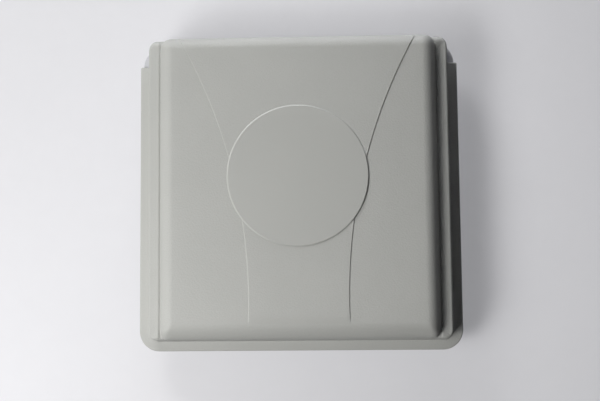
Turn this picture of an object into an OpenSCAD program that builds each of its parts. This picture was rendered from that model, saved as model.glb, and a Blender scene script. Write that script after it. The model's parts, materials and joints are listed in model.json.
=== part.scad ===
// Flat panel antenna with a moulded radome, lying on its back
// +Z is the boresight, +Y the top edge, the stud tips stand on z = 0

/* [Radome outline] */
// Overall width across the flange, mm
overall_w = 320; // [290:1:380]
// Overall height from the bottom flange edge to the top edge, mm
overall_h = 307; // [285:1:360]
// Width of the flange outside the wall, mm
flange_w = 9.5; // [8:0.5:14]
// Thickness of the flange, mm
flange_t = 3; // [2:0.25:4]
// Radius of the two bottom flange corners, mm
flange_corner_r = 20; // [14:1:26]
// Distance from the top edge down to the square flange ends, mm
flange_end = 21; // [16:1:30]
// Thickness of the lip that wraps the plate edge, mm
lip_t = 2.5; // [2:0.25:4]
// Wall thickness of the moulding, mm
wall_t = 2.8; // [2:0.2:3.6]
// Corner radius of the wall in plan, mm
wall_corner_r = 12; // [8:1:18]
// Draft of the side and bottom walls, mm over the shoulder height
wall_draft = 4; // [1:0.5:5]

/* [Radome levels] */
// Height of the shoulder above the plate, mm
shoulder_h = 28; // [24:1:32]
// Edge radius of the shoulder, mm
shoulder_r = 6; // [4:0.5:8]
// Width of the shoulder ledge beside the dome, mm
shoulder_w = 11.5; // [10:0.5:16]
// Height of the dome above the plate, mm
dome_h = 43; // [41:1:52]
// Edge radius of the dome along the sides and the top, mm
dome_r = 14; // [10:1:15]
// Edge radius of the dome along the bottom, mm
dome_foot_r = 18; // [12:1:22]
// Corner radius of the dome in plan, mm
dome_corner_r = 12; // [6:1:14]
// Set-in of the dome from the top and bottom walls, mm
dome_inset = 0.8; // [0.4:0.1:2]

/* [Radome relief] */
// Step of the centre field and of the disc, mm
relief_step = 0.8; // [0.4:0.1:1.4]
// Radius of the disc, mm
disc_r = 67.7; // [55:0.5:76]
// Distance of the disc centre below the top edge, mm
disc_drop = 138; // [125:1:150]
// Radius of the two long arcs beside the centre field, mm
field_arc_r = 515; // [420:5:700]
// Half width of the centre field at its waist, mm
field_waist = 47.4; // [38:0.5:56]
// Distance of the waist below the top edge, mm
waist_drop = 256; // [235:1:275]

/* [Back plate and mounting] */
// Thickness of the back plate, mm
plate_t = 3; // [2:0.5:4]
// Radius of the two top plate corners, mm
plate_corner_r = 20.5; // [14:0.5:21]
// Spacing of the mounting studs, mm
stud_pitch = 100; // [75:5:110]
// Thread diameter of the mounting studs, mm
stud_d = 6; // [5:1:8]
// Length of the studs behind the plate, mm
stud_len = 25; // [24:1:40]
// Number of cover screws along each side
side_screws = 4; // [3:1:5]
// Shank diameter of the cover screws, mm
cover_screw_d = 3.5; // [3:0.1:4]

/* [Radiators] */
// Side of the driven patch, mm
driven_w = 150; // [130:1:165]
// Side of the director patch, mm
director_w = 128; // [110:1:140]
// Corner cut of both patches, mm
patch_cut = 22; // [14:1:30]
// Sheet thickness of both patches, mm
patch_t = 1.5; // [1:0.25:2]
// Gap between plate and driven patch, mm
lower_gap = 12; // [11:0.5:14]
// Gap between the two patches, mm
upper_gap = 12; // [10:0.5:13]
// Spacing of the standoffs, mm
standoff_pitch = 84; // [80:1:90]
// Width of the hexagonal standoffs across flats, mm
standoff_af = 8; // [7:0.5:9]
// Screw diameter in the standoffs, mm
standoff_screw_d = 4; // [3:0.5:4]

/* [Feed and connector] */
// Distance of the connector above the bottom wall, mm
connector_rise = 42; // [38:1:50]
// Distance of the feed probe from the patch centre, mm
probe_offset = 48; // [30:1:52]
// Distance of the earth screw and the vent above the bottom wall, mm
service_rise = 26; // [24:1:30]
// Distance of the earth screw and the vent from the centre line, mm
service_x = 46; // [36:1:60]
// Width of the feed strip, mm
strip_w = 6; // [5:0.5:8]
// Height of the feed strip above the plate, mm
strip_z = 5; // [4:0.5:6]
// Thread diameter of the connector, mm
connector_d = 15.88; // [15.88:0.01:15.88]
// Side of the square connector flange, mm
connector_flange = 25.4; // [25.4:0.1:25.4]
// Hole spacing of the connector flange, mm
connector_pitch = 18.24; // [18.24:0.01:18.24]

/* [Fits] */
// Clearance round screws, pins and sockets, mm
fit = 0.15; // [0.1:0.05:0.25]
// Clearance between the lip and the plate edge, mm
lip_fit = 0.3; // [0.2:0.05:0.5]

/* [Hidden] */
$fn = 96;
y_top = overall_h / 2;
y_bottom = -overall_h / 2;
z_plate = stud_len;
z_front = stud_len + plate_t;
base_hx = overall_w / 2 - flange_w;
base_lo = y_bottom + flange_w;
edge_hx = base_hx - wall_draft;
edge_lo = base_lo + wall_draft;
dome_hx = edge_hx - shoulder_w;
dome_lo = edge_lo + dome_inset;
dome_hi = y_top - dome_inset;
end_y = y_top - flange_end;
plate_hx = overall_w / 2 - lip_t - lip_fit;
plate_lo = y_bottom + lip_t + lip_fit;
disc_y = y_top - disc_drop;
waist_y = y_top - waist_drop;
field_lo = dome_lo + dome_foot_r;
fade_len = 9;
fade_y = field_lo + fade_len + 1;
fade_r = (fade_len * fade_len + relief_step * relief_step) / (2 * relief_step);
rim_w = 8.5;
rim_h = 5;
groove_in = 3.6;
groove_w = 3.2;
groove_d = 2;
boss_r = 4.6;
boss_x = base_hx - rim_w - boss_r + 1.2;
boss_lo = base_lo + rim_w + boss_r - 1.2;
boss_hi = y_top - rim_w - boss_r + 1.2;
boss_h = shoulder_h - wall_t + 1;
web_t = 2.5;
web_sink = 0.2;
pilot_deep = 14;
row_margin = 20;
side_span = boss_hi - boss_lo - 2 * row_margin;
side_rows = [for (i = [0 : side_screws - 1]) boss_lo + row_margin + i * side_span / (side_screws - 1)];
end_x = dome_hx * 0.46;
cover_points = concat(
  [for (y = side_rows) [-boss_x, y]],
  [for (y = side_rows) [boss_x, y]],
  [for (s = [-1, 1]) [s * end_x, boss_lo]],
  [for (s = [-1, 1]) [s * end_x, boss_hi]]);
driven_z = lower_gap;
director_z = lower_gap + patch_t + upper_gap;
standoff_points = [for (sx = [-1, 1], sy = [-1, 1]) [sx, sy] * standoff_pitch / 2];
stud_points = [for (sx = [-1, 1], sy = [-1, 1]) [sx, sy] * stud_pitch / 2];
screw_r = standoff_screw_d / 2;
sink_r = standoff_screw_d * 0.92 + fit;
sink_d = standoff_screw_d * 0.42;
stud_reach = 4;
tap_deep = 8;
tap_rest = 2;
post_r = 5;
connector_y = base_lo + connector_rise;
connector_barrel = 15;
connector_flange_t = 3;
connector_seal_t = 1;
probe_y = disc_y - probe_offset;
pin_r = 1.5;
strip_t = 1;
strip_tail = 5;
support_w = 3;
support_l = 6;
support_lip = 1;
probe_head_r = 2.6;
probe_head_h = 1.2;
probe_stub = 1.2;
solder_r = 3.2;
solder_h = 1.1;
insulator_r = 4.1;
insulator_low = 5;
insulator_high = 1;
socket_r = 6;
socket_deep = 10;
contact_r = 1.85;
contact_bore_r = 0.85;
contact_back = 2;
contact_deep = 5;
contact_slot = 0.3;
contact_stub = 1.6;
thread_chamfer = 0.8;
relief_d = 1.1;
relief_l = 2.2;
flange_screw_r = 1.5;
ground_x = -service_x;
vent_x = service_x;
service_y = base_lo + service_rise;
ground_r = 2.5;
ground_af = 8;
ground_head_h = 3.5;
ground_nut_h = 4;
ground_slot = 1.2;
washer_r = 6;
washer_t = 1.2;
washer_tooth_r = 0.9;
vent_r = 4;
vent_bore_r = 2;
vent_seat_r = 3;
vent_head_r = 7;
vent_head_h = 4;
vent_above = 5;
vent_seat_d = 1;
vent_slot = 1.6;
vent_nut_af = 13;
vent_nut_h = 3.5;
membrane_t = 0.5;
over = 1;
stud_collar_r = stud_d / 2 + 0.4;
stud_head_r = stud_d / 2 + 1.4;
stud_head_t = 1.2;

// Moves a piece from the front face of the plate to its height
module on_plate() {
  translate([0, 0, z_front])
    children();
}

// Corner waste outside a quarter circle
module corner_waste(r) {
  difference() {
    square(r + 1);
    circle(r);
  }
}

// Rectangle with a radius on each corner, lower pair and upper pair
module rounded_rect(hx, lo, hi, r_lo, r_hi) {
  difference() {
    translate([-hx, lo])
      square([2 * hx, hi - lo]);
    for (s = [0, 1])
      mirror([s, 0]) {
        translate([hx - r_hi, hi - r_hi])
          corner_waste(r_hi);
        translate([hx - r_lo, lo + r_lo])
          mirror([0, 1])
            corner_waste(r_lo);
      }
  }
}

// Plan of the wall base, moved inwards
module wall_plan(inset) {
  r = wall_corner_r - min(inset, wall_corner_r - 2);
  rounded_rect(base_hx - inset, base_lo + inset, y_top - inset, r, r);
}

// Section with drafted walls and rounded top edges
module drafted_section(lo, hi, draft_lo, draft_hi, h, r_lo, r_hi, foot) {
  knee = h - max(r_lo, r_hi);
  polygon([[lo, -foot], [hi, -foot], [hi, 0], [hi - draft_hi, knee], [lo + draft_lo, knee], [lo, 0]]);
  difference() {
    translate([lo + draft_lo, knee])
      square([hi - draft_hi - lo - draft_lo, h - knee]);
    translate([hi - draft_hi - r_hi, h - r_hi])
      corner_waste(r_hi);
    translate([lo + draft_lo + r_lo, h - r_lo])
      mirror([1, 0])
        corner_waste(r_lo);
  }
}

// Solid of the shoulder level, moved inwards
module shoulder_solid(inset, foot) {
  r = shoulder_r - inset;
  h = shoulder_h - inset;
  intersection() {
    rotate([90, 0, 0])
      linear_extrude(2 * overall_h, center = true)
        drafted_section(-base_hx + inset, base_hx - inset, wall_draft, wall_draft, h, r, r, foot);
    rotate([90, 0, 90])
      linear_extrude(2 * overall_w, center = true)
        drafted_section(base_lo + inset, y_top - inset, wall_draft, 0, h, r, r, foot);
    translate([0, 0, -foot])
      linear_extrude(h + foot)
        wall_plan(inset);
  }
}

// Solid of the dome level, moved inwards and lifted
module dome_solid(inset, lift) {
  h = dome_h - inset + lift;
  intersection() {
    rotate([90, 0, 0])
      linear_extrude(2 * overall_h, center = true)
        drafted_section(-dome_hx + inset, dome_hx - inset, 0, 0, h, dome_r - inset, dome_r - inset, 0);
    rotate([90, 0, 90])
      linear_extrude(2 * overall_w, center = true)
        drafted_section(dome_lo + inset, dome_hi - inset, 0, 0, h, dome_foot_r - inset, dome_r - inset, 0);
    linear_extrude(h)
      rounded_rect(dome_hx - inset, dome_lo + inset, dome_hi - inset, dome_corner_r - inset, dome_corner_r - inset);
  }
}

// Plan of the centre field between the two long arcs
module field_plan() {
  difference() {
    translate([-dome_hx, field_lo])
      square([2 * dome_hx, y_top - field_lo]);
    for (s = [-1, 1])
      translate([s * (field_waist + field_arc_r), waist_y])
        circle(field_arc_r, $fn = 360);
  }
}

// Section of the centre field, which sinks into the face at its lower end
module field_section() {
  h = dome_h + relief_step;
  difference() {
    translate([y_bottom, 0])
      square([overall_h, h]);
    translate([fade_y, h - fade_r])
      mirror([1, 0])
        corner_waste(fade_r);
  }
}

// Outline of the U-shaped flange with its square upper ends
module flange_plan() {
  difference() {
    rounded_rect(overall_w / 2, y_bottom, y_top, flange_corner_r, 2);
    translate([-overall_w, end_y])
      square([2 * overall_w, overall_h]);
  }
}

// Outline of the back plate, grown by a clearance
module plate_plan(grow) {
  rounded_rect(plate_hx + grow, plate_lo - grow, y_top, flange_corner_r - lip_t - lip_fit + grow, plate_corner_r + grow);
}

// Screw boss that reaches the underside of the shoulder
module cover_boss(p) {
  translate([p.x, p.y, 0])
    cylinder(boss_h, r = boss_r);
}

// Web that ties an end boss to the wall, short of its outer face
module boss_web(p) {
  far = p.y > 0 ? y_top - wall_t / 2 : edge_lo + web_sink;
  translate([p.x - web_t / 2, min(p.y, far), 0])
    cube([web_t, abs(far - p.y), shoulder_h - shoulder_r]);
}

module radome() {
  color("gainsboro")
    on_plate()
      difference() {
        union() {
          difference() {
            union() {
              shoulder_solid(0, 0);
              dome_solid(0, 0);
              intersection() {
                dome_solid(0, relief_step);
                linear_extrude(dome_h + 10)
                  field_plan();
                rotate([90, 0, 90])
                  linear_extrude(2 * overall_w, center = true)
                    field_section();
              }
              translate([0, disc_y, dome_h - 1])
                rotate_extrude()
                  difference() {
                    square([disc_r, 1 + 2 * relief_step]);
                    translate([disc_r, 1 + 2 * relief_step])
                      rotate(45)
                        square(relief_step, center = true);
                  }
              linear_extrude(flange_t)
                flange_plan();
              translate([0, 0, -plate_t])
                linear_extrude(plate_t)
                  difference() {
                    flange_plan();
                    plate_plan(lip_fit);
                  }
            }
            shoulder_solid(wall_t, 1);
            dome_solid(wall_t, 0);
          }
          linear_extrude(rim_h)
            difference() {
              wall_plan(wall_t / 2);
              wall_plan(rim_w);
            }
          for (p = cover_points)
            cover_boss(p);
          for (p = cover_points)
            if (abs(p.x) < dome_hx)
              boss_web(p);
        }
        translate([0, 0, -1])
          linear_extrude(groove_d + 1)
            difference() {
              wall_plan(groove_in);
              wall_plan(groove_in + groove_w);
            }
        for (p = cover_points)
          translate([p.x, p.y, -1])
            cylinder(pilot_deep + 1, d = cover_screw_d + 2 * fit);
      }
}

module back_plate() {
  color("silver")
    translate([0, 0, z_plate])
      difference() {
        linear_extrude(plate_t)
          plate_plan(0);
        for (p = cover_points)
          translate([p.x, p.y, -1])
            cylinder(plate_t + 2, d = cover_screw_d + 4 * fit);
        for (p = stud_points)
          translate([p.x, disc_y + p.y, -1])
            cylinder(plate_t + 2, r = stud_collar_r + fit);
        for (p = stud_points)
          translate([p.x, disc_y + p.y, plate_t - stud_head_t])
            cylinder(plate_t, r = stud_head_r + fit);
        for (p = concat(standoff_points, [[0, 0]]))
          translate([p.x, disc_y + p.y, 0])
            rotate_extrude()
              polygon([[0, -1], [sink_r + 1, -1], [sink_r, 0], [screw_r + fit, sink_d], [screw_r + fit, plate_t + 1],
                [0, plate_t + 1]]);
        translate([0, connector_y, -1])
          cylinder(plate_t + 2, r = insulator_r + fit);
        for (sx = [-1, 1], sy = [-1, 1])
          translate([sx * connector_pitch / 2, connector_y + sy * connector_pitch / 2, -1])
            cylinder(plate_t + 2, r = flange_screw_r + fit);
        translate([ground_x, service_y, -1])
          cylinder(plate_t + 2, r = ground_r + fit);
        translate([vent_x, service_y, -1])
          cylinder(plate_t + 2, r = vent_r + fit);
      }
}

module perimeter_gasket() {
  color("dimgray")
    on_plate()
      linear_extrude(groove_d)
        difference() {
          wall_plan(groove_in + fit);
          wall_plan(groove_in + groove_w - fit);
        }
}

// Pan head screw driven upwards, head below z = 0, cross recess in the head
module pan_screw(d, len) {
  head_r = d * 0.95;
  h = d * 0.65;
  difference() {
    union() {
      translate([0, 0, -h])
        rotate_extrude()
          intersection() {
            square([head_r, h]);
            translate([0, head_r * 1.6])
              circle(head_r * 1.78);
          }
      translate([0, 0, -0.2])
        cylinder(len + 0.2, d = d);
    }
    for (a = [0, 90])
      rotate(a)
        translate([-d * 0.45, -d * 0.09, -h - 1])
          cube([d * 0.9, d * 0.18, 1 + h * 0.5]);
  }
}

module cover_screws() {
  color("lightslategray")
    for (p = cover_points)
      translate([p.x, p.y, z_plate])
        pan_screw(cover_screw_d, plate_t + pilot_deep - 2);
}

module mounting_studs() {
  color("lightgray")
    for (p = stud_points)
      translate([p.x, disc_y + p.y, 0])
        rotate_extrude()
          polygon([[0, 0], [stud_d / 2 - 0.7, 0], [stud_d / 2, 0.7], [stud_d / 2, z_plate],
            [stud_collar_r, z_plate], [stud_collar_r, z_front - stud_head_t],
            [stud_head_r, z_front - stud_head_t], [stud_head_r, z_front], [0, z_front]]);
}

// Square sheet with two opposite corners cut for circular polarisation
module patch_plan(w) {
  difference() {
    square(w, center = true);
    for (a = [45, 225])
      rotate(a)
        translate([w / sqrt(2) - patch_cut / sqrt(2), -w])
          square([w, 2 * w]);
  }
}

module driven_patch() {
  color("silver")
    on_plate()
      translate([0, disc_y, driven_z])
        linear_extrude(patch_t)
          difference() {
            patch_plan(driven_w);
            for (p = concat(standoff_points, [[0, 0]]))
              translate(p)
                circle(screw_r + fit);
            translate([0, -probe_offset])
              circle(pin_r + fit);
          }
}

module director_patch() {
  color("silver")
    on_plate()
      translate([0, disc_y, director_z])
        linear_extrude(patch_t)
          difference() {
            patch_plan(director_w);
            for (p = standoff_points)
              translate(p)
                circle(screw_r + fit);
          }
}

// Hexagonal pillar
module hex_pillar(af, h) {
  cylinder(h, d = af / cos(30), $fn = 6);
}

module lower_standoffs() {
  color("ivory")
    on_plate()
      for (p = standoff_points)
        translate([p.x, disc_y + p.y, 0])
          difference() {
            hex_pillar(standoff_af, lower_gap);
            translate([0, 0, -1])
              cylinder(lower_gap + 2, r = screw_r + fit);
          }
}

module upper_standoffs() {
  color("ivory")
    on_plate()
      for (p = standoff_points)
        translate([p.x, disc_y + p.y, driven_z + patch_t]) {
          difference() {
            hex_pillar(standoff_af, upper_gap);
            translate([0, 0, upper_gap - tap_deep])
              cylinder(tap_deep + over, r = screw_r + fit);
          }
          translate([0, 0, -patch_t - stud_reach])
            cylinder(patch_t + stud_reach + 0.5, r = screw_r);
        }
}

// Countersunk screw driven upwards, flush at z = 0, with a cross recess
module flush_screw(d, len) {
  difference() {
    rotate_extrude()
      polygon([[0, 0], [d * 0.92, 0], [d / 2, d * 0.42], [d / 2, len], [0, len]]);
    for (a = [0, 90])
      rotate(a)
        translate([-d * 0.45, -d * 0.09, -1])
          cube([d * 0.9, d * 0.18, 1 + d * 0.25]);
  }
}

module plate_screws() {
  color("lightslategray")
    for (p = concat(standoff_points, [[0, 0]]))
      translate([p.x, disc_y + p.y, z_plate])
        flush_screw(standoff_screw_d, plate_t + lower_gap - stud_reach - 1.5);
}

module director_screws() {
  color("ivory")
    on_plate()
      for (p = standoff_points)
        translate([p.x, disc_y + p.y, director_z + patch_t])
          mirror([0, 0, 1])
            pan_screw(standoff_screw_d, patch_t + tap_deep - tap_rest);
}

module centre_post() {
  color("goldenrod")
    on_plate()
      translate([0, disc_y, 0])
        difference() {
          cylinder(lower_gap, r = post_r);
          translate([0, 0, -1])
            cylinder(lower_gap + 2, r = screw_r + fit);
        }
}

module post_screw() {
  color("lightslategray")
    on_plate()
      translate([0, disc_y, driven_z + patch_t])
        mirror([0, 0, 1])
          pan_screw(standoff_screw_d, patch_t + 4);
}

module feed_strip() {
  color("goldenrod")
    on_plate()
      translate([0, 0, strip_z])
        linear_extrude(strip_t)
          difference() {
            translate([-strip_w / 2, connector_y - strip_tail])
              square([strip_w, probe_y - connector_y + 2 * strip_tail]);
            translate([0, connector_y])
              circle(pin_r + fit);
            translate([0, probe_y])
              circle(pin_r + fit);
          }
}

module strip_supports() {
  color("white")
    on_plate()
      for (t = [0.35, 0.72])
        translate([0, connector_y + t * (probe_y - connector_y), 0])
          difference() {
            translate([-strip_w / 2 - support_w, -support_l / 2, 0])
              cube([strip_w + 2 * support_w, support_l, strip_z + strip_t + support_lip]);
            translate([-strip_w / 2 - fit, -support_l, strip_z])
              cube([strip_w + 2 * fit, 2 * support_l, strip_t + support_lip + over]);
          }
}

module feed_probe() {
  tip = probe_head_h + lower_gap + patch_t - strip_z + probe_stub;
  color("goldenrod")
    on_plate()
      translate([0, probe_y, strip_z - probe_head_h])
        rotate_extrude()
          polygon([[0, 0], [probe_head_r, 0], [probe_head_r, probe_head_h], [pin_r, probe_head_h], [pin_r, tip], [0, tip]]);
}

// Solder cone round a pin, hollowed like a fillet
module solder_cone() {
  rotate_extrude()
    difference() {
      translate([pin_r, 0])
        square([solder_r - pin_r, solder_h]);
      translate([solder_r, solder_h + fit])
        circle(solder_r - pin_r - fit);
    }
}

module solder_joints() {
  color("lightgray")
    on_plate() {
      translate([0, connector_y, strip_z + strip_t])
        solder_cone();
      translate([0, probe_y, driven_z + patch_t])
        solder_cone();
    }
}

module connector_body() {
  r = connector_d / 2;
  back = connector_flange_t;
  tip = connector_flange_t + connector_barrel;
  color("lightsteelblue")
    translate([0, connector_y, z_plate - connector_seal_t])
      difference() {
        union() {
          translate([-connector_flange / 2, -connector_flange / 2, -connector_flange_t])
            cube([connector_flange, connector_flange, connector_flange_t]);
          rotate([180, 0, 0])
            rotate_extrude()
              polygon([[0, back / 2], [r - relief_d, back / 2], [r - relief_d, back + relief_l],
                [r, back + relief_l + relief_d], [r, tip - thread_chamfer], [r - thread_chamfer, tip], [0, tip]]);
        }
        translate([0, 0, -tip - over])
          cylinder(socket_deep + over, r = socket_r);
        translate([0, 0, -tip - over])
          cylinder(tip + 2 * over, r = insulator_r + fit);
        for (sx = [-1, 1], sy = [-1, 1])
          translate([sx * connector_pitch / 2, sy * connector_pitch / 2, -connector_flange_t - over])
            cylinder(connector_flange_t + 2 * over, r = flange_screw_r + 2 * fit);
      }
}

module connector_gasket() {
  color("dimgray")
    translate([0, connector_y, z_plate - connector_seal_t])
      linear_extrude(connector_seal_t)
        difference() {
          square(connector_flange, center = true);
          circle(insulator_r + 4 * fit);
          for (sx = [-1, 1], sy = [-1, 1])
            translate([sx, sy] * connector_pitch / 2)
              circle(flange_screw_r + 2 * fit);
        }
}

module connector_insulator() {
  low = connector_seal_t + connector_flange_t + insulator_low;
  len = low + plate_t + insulator_high;
  color("white")
    translate([0, connector_y, z_plate - low])
      difference() {
        cylinder(len, r = insulator_r);
        translate([0, 0, -over])
          cylinder(len + 2 * over, r = pin_r + fit);
      }
}

module connector_contact() {
  low = connector_seal_t + connector_flange_t + connector_barrel - contact_back;
  shelf = connector_seal_t + connector_flange_t + insulator_low;
  tip = plate_t + strip_z + strip_t + contact_stub;
  color("gold")
    translate([0, connector_y, z_plate])
      difference() {
        rotate_extrude()
          polygon([[0, -low], [contact_r, -low], [contact_r, -shelf], [pin_r, -shelf], [pin_r, tip], [0, tip]]);
        translate([0, 0, -low - over])
          cylinder(contact_deep + over, r = contact_bore_r);
        for (a = [0, 90])
          rotate(a)
            translate([-2 * contact_r, -contact_slot / 2, -low - over])
              cube([4 * contact_r, contact_slot, contact_deep]);
      }
}

module connector_screws() {
  color("lightslategray")
    for (sx = [-1, 1], sy = [-1, 1])
      translate([sx * connector_pitch / 2, connector_y + sy * connector_pitch / 2,
        z_plate - connector_seal_t - connector_flange_t])
        pan_screw(2 * flange_screw_r, connector_flange_t + connector_seal_t + plate_t + 1);
}

module ground_screw() {
  color("lightgray")
    translate([ground_x, service_y, z_plate - washer_t])
      difference() {
        union() {
          translate([0, 0, -ground_head_h])
            hex_pillar(ground_af, ground_head_h);
          cylinder(washer_t + plate_t + ground_nut_h + over, r = ground_r);
        }
        translate([-ground_af, -ground_slot / 2, -ground_head_h - over])
          cube([2 * ground_af, ground_slot, ground_head_h / 2 + over]);
      }
}

module ground_washer() {
  color("gray")
    translate([ground_x, service_y, z_plate - washer_t])
      linear_extrude(washer_t)
        difference() {
          circle(washer_r);
          circle(ground_r + fit);
          for (a = [0 : 30 : 330])
            rotate(a)
              translate([washer_r + washer_tooth_r / 3, 0])
                circle(washer_tooth_r, $fn = 12);
        }
}

module ground_nut() {
  color("lightgray")
    on_plate()
      translate([ground_x, service_y, 0])
        difference() {
          hex_pillar(ground_af, ground_nut_h);
          translate([0, 0, -over])
            cylinder(ground_nut_h + 2 * over, r = ground_r + fit);
        }
}

module vent_body() {
  top = plate_t + vent_above;
  bevel = vent_head_r - over;
  color("black")
    translate([vent_x, service_y, z_plate])
      difference() {
        rotate([180, 0, 0])
          rotate_extrude()
            polygon([[0, -top], [vent_r, -top], [vent_r, 0], [vent_head_r, 0], [vent_head_r, vent_head_h * 0.6],
              [bevel, vent_head_h], [0, vent_head_h]]);
        translate([0, 0, -vent_head_h + over])
          cylinder(top + vent_head_h, r = vent_bore_r);
        translate([0, 0, top - vent_seat_d])
          cylinder(vent_seat_d + over, r = vent_seat_r);
        for (a = [0, 90])
          rotate(a)
            translate([-vent_head_r - over, -vent_slot / 2, -vent_head_h + over])
              cube([2 * vent_head_r + 2 * over, vent_slot, vent_slot]);
      }
}

module vent_membrane() {
  color("white")
    on_plate()
      translate([vent_x, service_y, vent_above - vent_seat_d])
        cylinder(membrane_t, r = vent_seat_r - fit);
}

module vent_nut() {
  color("black")
    on_plate()
      translate([vent_x, service_y, 0])
        difference() {
          hex_pillar(vent_nut_af, vent_nut_h);
          translate([0, 0, -over])
            cylinder(vent_nut_h + 2 * over, r = vent_r + fit);
        }
}

radome();
back_plate();
perimeter_gasket();
cover_screws();
mounting_studs();
driven_patch();
director_patch();
lower_standoffs();
upper_standoffs();
plate_screws();
director_screws();
centre_post();
post_screw();
feed_strip();
strip_supports();
feed_probe();
solder_joints();
connector_body();
connector_gasket();
connector_insulator();
connector_contact();
connector_screws();
ground_screw();
ground_washer();
ground_nut();
vent_body();
vent_membrane();
vent_nut();
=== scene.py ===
# %% [markdown]
# # A flat panel antenna with a moulded radome
# The panel lies on its back and is seen almost straight from above. The solids of all its pieces come in as
# a fixed frame. This lesson gives the radome its soft moulded form, the studs and the socket their threads
# and every piece its finish, and then sets floor, light and camera.

# %% Load the frame
import json
import math

import bmesh
import bpy
import numpy as np
from mathutils import Matrix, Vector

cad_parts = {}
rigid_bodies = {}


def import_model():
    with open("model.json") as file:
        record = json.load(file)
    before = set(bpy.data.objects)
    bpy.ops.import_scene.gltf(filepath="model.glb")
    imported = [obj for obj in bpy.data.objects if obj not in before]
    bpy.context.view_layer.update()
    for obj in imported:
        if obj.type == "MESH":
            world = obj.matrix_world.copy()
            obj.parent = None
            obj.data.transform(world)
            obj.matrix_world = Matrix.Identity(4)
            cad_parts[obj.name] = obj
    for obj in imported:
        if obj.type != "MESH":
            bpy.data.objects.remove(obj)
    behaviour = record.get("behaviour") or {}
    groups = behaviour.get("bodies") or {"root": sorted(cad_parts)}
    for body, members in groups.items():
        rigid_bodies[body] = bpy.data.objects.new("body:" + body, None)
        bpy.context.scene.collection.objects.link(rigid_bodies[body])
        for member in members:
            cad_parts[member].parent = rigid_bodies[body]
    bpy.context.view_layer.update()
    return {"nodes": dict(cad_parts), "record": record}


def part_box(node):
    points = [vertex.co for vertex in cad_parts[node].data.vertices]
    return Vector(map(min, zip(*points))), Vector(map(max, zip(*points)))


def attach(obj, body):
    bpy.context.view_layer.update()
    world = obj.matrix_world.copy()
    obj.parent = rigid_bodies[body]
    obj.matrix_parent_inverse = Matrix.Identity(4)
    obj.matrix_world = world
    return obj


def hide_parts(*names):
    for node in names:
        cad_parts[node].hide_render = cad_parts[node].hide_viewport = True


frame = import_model()
print("pieces in the frame:", len(frame["nodes"]))

# %% [markdown]
# ## Sizes
# Sizes are in millimetres, as on a drawing, and become metres only when a mesh is made. The outer ones are
# read from the frame, so the moulding always fits the plate, the seal and the screws that it covers. The
# moulding's own heights count from the front of the plate.

# %% Sizes from the frame
MM_PER_METRE = 1000.0


def box_in_mm(node):
    """Lowest and highest corner of a piece of the frame, in mm."""
    return (np.array(corner) * MM_PER_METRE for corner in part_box(node))


radome_low, radome_high = box_in_mm("radome")
plate_low, plate_high = box_in_mm("back_plate")
FRONT, Y_TOP = plate_high[2], radome_high[1]
FLANGE_W = 9.5
BASE_HX, BASE_LO = radome_high[0] - FLANGE_W, radome_low[1] + FLANGE_W  # foot of the walls
print("radome", radome_high - radome_low, "front of plate at", round(FRONT, 2))

# %% [markdown]
# ## From arrays to meshes
# Every new piece but one is a grid of points worked out with numpy. One helper turns a grid into quads:
# neighbouring rows and columns are joined, a grid may close on itself in either direction, and open ends
# and poles may be capped. An open sheet gets its thickness from a Solidify modifier, so every piece is
# closed.

# %% Grid to mesh
def grid_mesh(name, points, wrap_rows=False, wrap_columns=False, cap_rows=False, cap_columns=()):
    """Quads on grid points (rows, columns, xyz in metres); wrapping joins the last line to the first."""
    rows, columns = points.shape[:2]
    index = np.arange(rows * columns).reshape(rows, columns)
    if wrap_rows:
        index = np.vstack([index, index[:1]])
    if wrap_columns:
        index = np.hstack([index, index[:, :1]])
    corners = [index[:-1, :-1], index[:-1, 1:], index[1:, 1:], index[1:, :-1]]
    faces = np.stack(corners, axis=-1).reshape(-1, 4).tolist()
    if cap_rows:
        faces.append(index[0, :columns][::-1].tolist())
        faces.append(index[-1, :columns].tolist())
    for column in cap_columns:
        ring = index[:rows, column]
        faces.append((ring if column == 0 else ring[::-1]).tolist())
    mesh = bpy.data.meshes.new(name)
    mesh.from_pydata(points.reshape(-1, 3).tolist(), [], faces)
    mesh.polygons.foreach_set("use_smooth", np.ones(len(mesh.polygons), dtype=bool))
    mesh.update()
    return mesh

# %% Mesh to piece
def mesh_piece(name, mesh):
    """A mesh in place as a piece that rides on the one body."""
    piece = bpy.data.objects.new(name, mesh)
    bpy.context.scene.collection.objects.link(piece)
    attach(piece, "root")
    print(name, "faces:", len(mesh.polygons))
    return piece


def grid_piece(name, points, thickness=0.0, slot="radome", **closing):
    """A piece from grid points in mm, with an inward wall where a thickness is given."""
    piece = mesh_piece(name, grid_mesh(name, points / MM_PER_METRE, **closing))
    if thickness:
        wall = piece.modifiers.new("wall", "SOLIDIFY")
        wall.thickness, wall.offset = thickness / MM_PER_METRE, -1.0
    return piece

# %% Grid lines and turned surfaces
LINE_GAP = 0.02  # grid lines closer than this are one
AXIS_R = 0.01  # radius at which a turned surface ends beside its axis and is capped
TINY = 1e-9  # keeps a division away from zero


def merged(*lists):
    """Sorted union of several number lists; a value within LINE_GAP of the one before it is dropped."""
    values = np.sort(np.concatenate([np.atleast_1d(np.asarray(part, dtype=float)) for part in lists]))
    return values[np.concatenate([[True], np.diff(values) > LINE_GAP])]


def turn(radius, steps):
    """Distances from an edge at equal turns of a quarter round: radius times one minus the cosine."""
    return radius * (1.0 - np.cos(np.linspace(0.0, np.pi / 2, steps)))


def full_turn(steps):
    """Equal angles once round an axis, as a column."""
    return np.linspace(0.0, 2.0 * np.pi, steps, endpoint=False)[:, None]


def turned(radius, height, centre, spin):
    """Points round an upright axis: centre plus radius times the cosine and the sine of the spin."""
    x, y = centre[0] + radius * np.cos(spin), centre[1] + radius * np.sin(spin)
    return np.stack([x, y, height + 0.0 * x], axis=-1)


print("grid lines of a 10 mm round:", turn(10.0, 4).round(2))

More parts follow.
